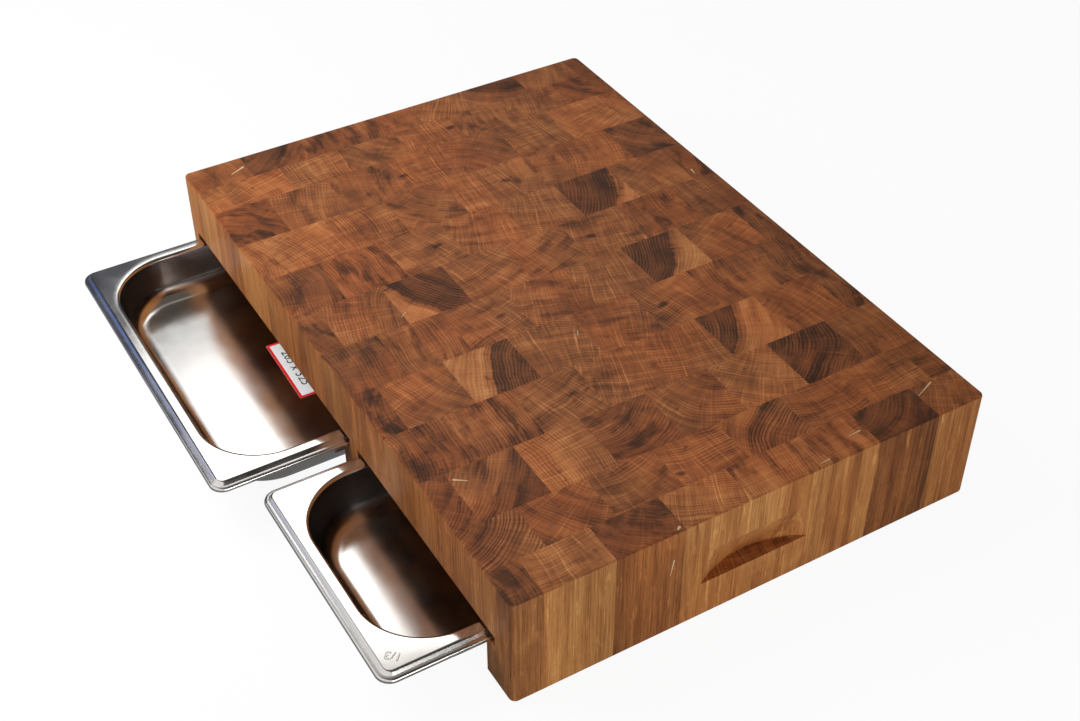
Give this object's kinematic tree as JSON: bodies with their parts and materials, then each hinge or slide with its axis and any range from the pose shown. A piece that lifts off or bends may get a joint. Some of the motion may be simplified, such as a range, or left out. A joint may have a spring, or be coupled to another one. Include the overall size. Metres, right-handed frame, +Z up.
{
  "type": "cutting board with drawer trays",
  "caption": "Thick end-grain oak cutting board whose two steel food pans slide out from under it like drawers, with a finger grip in each end.",
  "frame": {"origin": "bottom centre of the whole object as it stands with both pans partly out", "axes": "+X along the board's length, -Y to the front where the pans come out, +Z up"},
  "size_m": [0.495, 0.4396, 0.085],
  "materials": {
    "oak": "oiled end grain, matt to satin",
    "steel": "satin stainless steel, bright on the rim",
    "label": "white printed paper with a red border"
  },
  "bodies": {
    "board": {"end_strip_left": "oak", "strip_02": "oak", "strip_03": "oak", "strip_04": "oak", "strip_05": "oak", "strip_06": "oak", "strip_07": "oak", "strip_08": "oak", "strip_09": "oak", "strip_10": "oak", "strip_11": "oak", "end_strip_right": "oak"},
    "half_pan": {"half_pan": "steel", "pan_label": "label"},
    "third_pan": {"third_pan": "steel"}
  },
  "joints": [
    {"name": "half_pan_slide", "type": "slide", "parent": "board", "child": "half_pan", "axis": [0, -1, 0], "range_m": [-0.0935, 0.2315]},
    {"name": "third_pan_slide", "type": "slide", "parent": "board", "child": "third_pan", "axis": [0, -1, 0], "range_m": [-0.0695, 0.2555]}
  ]
}
